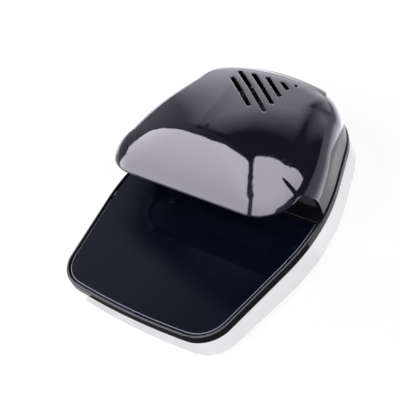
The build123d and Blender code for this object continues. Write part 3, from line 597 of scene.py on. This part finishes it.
# %% [markdown]
# The liner inside the mouth, the fan and the chips on the board are plain black
# mouldings with a fine spark-eroded grain, which scatters light. The grain is a
# dense cell pattern in the bump, and the roughness is high. The switch's plunger is
# moulded the same way, in white.

# %% Grained plastic
grain_drift = 0.12


def grained(name, base, drift, roughness, grain_scale):
    """Dull moulded plastic; a larger grain_scale gives a finer grain."""
    finish = Finish(name)
    grain = finish.cells(grain_scale)
    cloud = finish.noise(scale=40.0, detail=3.0)
    finish.set(
        Base_Color=finish.tint(cloud, base, drift),
        Roughness=finish.spread(cloud, 0.3, 0.7, roughness, roughness + grain_drift),
        Normal=finish.bump(grain, strength=0.3, depth=0.1 * millimetre),
    )
    return finish


liner_black = grained("liner_black", (0.012, 0.012, 0.015, 1), (0.02, 0.02, 0.024, 1), 0.42, 1500.0)
fan_black = grained("fan_black", (0.02, 0.02, 0.021, 1), (0.03, 0.03, 0.031, 1), 0.45, 1200.0)
component_black = grained("component_black", (0.025, 0.025, 0.026, 1), (0.04, 0.04, 0.04, 1), 0.5, 2500.0)
plunger_white = grained("plunger_white", (0.62, 0.62, 0.58, 1), (0.70, 0.70, 0.66, 1), 0.4, 2000.0)
print("grained plastics: liner, fan, components and plunger")

# %% [markdown]
# The feet are soft rubber: dull, a shade off black, with a dusting of pale grit
# that they pick up from a table.

# %% Rubber
grit_share = 0.35
rubber = Finish("foot_rubber")
grit = rubber.spread(rubber.cells(scale=900.0), 0.10, 0.16, 1.0, 0.0)
rubber_cloud = rubber.noise(scale=220.0, detail=4.0)
rubber.set(
    Base_Color=rubber.tint(grit * grit_share, (0.03, 0.03, 0.031, 1), (0.16, 0.155, 0.15, 1)),
    Roughness=rubber.spread(rubber_cloud, 0.3, 0.7, 0.72, 0.88),
    Normal=rubber.bump(rubber_cloud, strength=0.35, depth=0.1 * millimetre),
)
print("rubber ready")

# %% [markdown]
# Screws, pins, shaft and springs are bright steel, the battery contacts are nickel
# plated and the fan's coils are enamelled copper. Metal has no colour of its own
# apart from its reflection, so the base colour is that of the metal and the life
# comes from fine turning or drawing marks in the roughness and the bump.

# %% Metals
mark_roughness = 0.14


def metal(name, base, drift, roughness, marks):
    """Bare metal; marks stretches its fine lines along one axis or two."""
    finish = Finish(name)
    drawn = finish.noise(scale=300.0, detail=3.0, vector=finish.stretched(marks))
    stain = finish.noise(scale=90.0, detail=4.0)
    finish.set(
        Base_Color=finish.tint(stain, base, drift),
        Metallic=finish.spread(stain, 0.2, 0.8, 1.0, 0.95),
        Roughness=finish.spread(drawn, 0.35, 0.65, roughness, roughness + mark_roughness),
        Normal=finish.bump(drawn, strength=0.2, depth=0.05 * millimetre),
    )
    return finish


steel = metal("steel", (0.60, 0.60, 0.61, 1), (0.50, 0.50, 0.51, 1), 0.24, (1.0, 1.0, 9.0))
spring_steel = metal("spring_steel", (0.52, 0.52, 0.53, 1), (0.42, 0.42, 0.43, 1), 0.3, (6.0, 6.0, 1.0))
nickel = metal("contact_nickel", (0.66, 0.64, 0.60, 1), (0.58, 0.56, 0.52, 1), 0.2, (1.0, 6.0, 1.0))
copper = metal("coil_copper", (0.72, 0.33, 0.16, 1), (0.55, 0.22, 0.10, 1), 0.3, (1.0, 1.0, 16.0))
print("metals: steel, spring steel, nickel and copper")

# %% [markdown]
# Circuit boards are glass fibre under a coloured solder mask. Tracks show as
# slightly raised, paler lines. They run in square steps, so a brick pattern with
# thin mortar gives them, seen from above through the object's own coordinates.

# %% Circuit boards
brick_scale = 260.0
track_height = 0.8
weave_height = 0.2


def board_finish(name, mask_colour, track_colour):
    """Solder mask with tracks under it and the weave of the glass fibre."""
    finish = Finish(name)
    bricks = finish.node(
        "ShaderNodeTexBrick",
        {"offset": 0.37, "squash": 0.7, "squash_frequency": 3},
        {
            "Vector": finish.place,
            "Scale": brick_scale,
            "Mortar Size": 0.03,
            "Brick Width": 0.6,
            "Row Height": 0.22,
        },
    )
    track = Reading(finish, bricks.outputs["Fac"])
    weave = finish.noise(scale=1800.0, detail=1.0)
    relief = track * track_height + weave * weave_height
    finish.set(
        Base_Color=finish.tint(track, mask_colour, track_colour),
        Roughness=finish.spread(weave, 0.3, 0.7, 0.28, 0.42),
        Normal=finish.bump(relief, strength=0.3, depth=0.05 * millimetre),
    )
    return finish


board_green = board_finish("board_green", (0.012, 0.10, 0.035, 1), (0.04, 0.20, 0.08, 1))
board_white = board_finish("board_white", (0.72, 0.72, 0.69, 1), (0.60, 0.60, 0.56, 1))
print("boards: green and white")

# %% [markdown]
# The cells wear a plain shrink sleeve, dark with one pale band near an end, and
# are bare metal at the tips. There is no lettering. The cells lie along X, so
# their own X coordinate makes the bands.

# %% Battery sleeve
battery_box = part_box("batteries")
cell_end = battery_box[1].x
tip_start = 0.93 * cell_end
tip_full = 0.95 * cell_end
band_start = 0.55 * cell_end
band_end = 0.78 * cell_end
sleeve = Finish("cell_sleeve")
cell_along = sleeve.axes()[0]
tip = sleeve.spread(cell_along * cell_along, tip_start ** 2, tip_full ** 2)
band = cell_along.above(band_start) * (1 - cell_along.above(band_end))
crinkle = sleeve.noise(scale=500.0, detail=3.0, vector=sleeve.stretched((8.0, 1.0, 1.0)))
sleeve_colour = sleeve.tint(band, (0.035, 0.037, 0.045, 1), (0.42, 0.42, 0.40, 1))
sleeve.set(
    Base_Color=sleeve.tint(tip, sleeve_colour, (0.60, 0.59, 0.57, 1)),
    Metallic=tip,
    Roughness=sleeve.spread(crinkle, 0.3, 0.7, 0.22, 0.34),
    Normal=sleeve.bump(crinkle, strength=0.25, depth=0.1 * millimetre),
)
print("cells end at", round(cell_end / millimetre, 1), "mm")

# %% [markdown]
# The window under the LEDs is clear acrylic and the LED lenses are clear epoxy.
# Both are thin, so a transmissive shader with a slight tint is enough, and a very
# fine haze in the roughness keeps them from looking like nothing at all.

# %% Clear plastics
acrylic_index = 1.49
haze_roughness = 0.08


def clear(name, colour, roughness, share):
    """Clear plastic; share is how much of it light goes through."""
    finish = Finish(name)
    haze = finish.noise(scale=400.0, detail=3.0)
    finish.set(
        Base_Color=finish.tint(haze, colour, grey(0.9)),
        Roughness=finish.spread(haze, 0.3, 0.7, roughness, roughness + haze_roughness),
        Transmission_Weight=share,
        IOR=acrylic_index,
        Normal=finish.bump(haze, strength=0.08, depth=0.05 * millimetre),
    )
    return finish


window_clear = clear("window_clear", (0.82, 0.84, 0.90, 1), 0.05, 0.9)
led_lens = clear("led_lens", (0.80, 0.72, 0.92, 1), 0.12, 0.6)
print("clear plastics: window and lenses")

# %% [markdown]
# Each CAD node keeps its shape and takes a finish. The record names a material
# slot for every node, so the finishes are given out by that name, and a slot with
# no finish would stop the script.

# %% Give every node its finish
finishes = {
    "white_shell": white_shell,
    "black_gloss": deck_black,
    "plate_black": plate_black,
    "hood_black": hood_black,
    "liner_black": liner_black,
    "steel": steel,
    "spring_steel": spring_steel,
    "board_green": board_green,
    "component_black": component_black,
    "plunger_white": plunger_white,
    "cell_sleeve": sleeve,
    "contact_nickel": nickel,
    "foot_rubber": rubber,
    "window_clear": window_clear,
    "board_white": board_white,
    "led_lens": led_lens,
    "fan_black": fan_black,
    "coil_copper": copper,
}
slot_of = {entry["node"]: entry["material_slot"] for entry in frame["record"]["subparts"]}
for name, node in frame["nodes"].items():
    node.data.materials.clear()
    node.data.materials.append(finishes[slot_of[name]].material)
print("finishes given to", len(slot_of), "nodes")

# %% [markdown]
# The two return springs stand between the base and the finger plate, and shorten
# when the plate goes down. A CAD node keeps its shape at every pose, so a copy of
# each coil stands for it, hung on the housing, and the CAD coil itself is hidden.

# %% Copies of the springs
for name in ("return_spring_left", "return_spring_right"):
    coil = bpy.data.objects.new(name + "_coil", frame["nodes"][name].data.copy())
    bpy.context.scene.collection.objects.link(coil)
    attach(coil, "housing")
    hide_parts(name)
    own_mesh(coil)

# %% [markdown]
# Dressing the lamp must not change its size.

# %% Pieces from CAD
print("sizes written for", len(frame["nodes"]), "pieces")
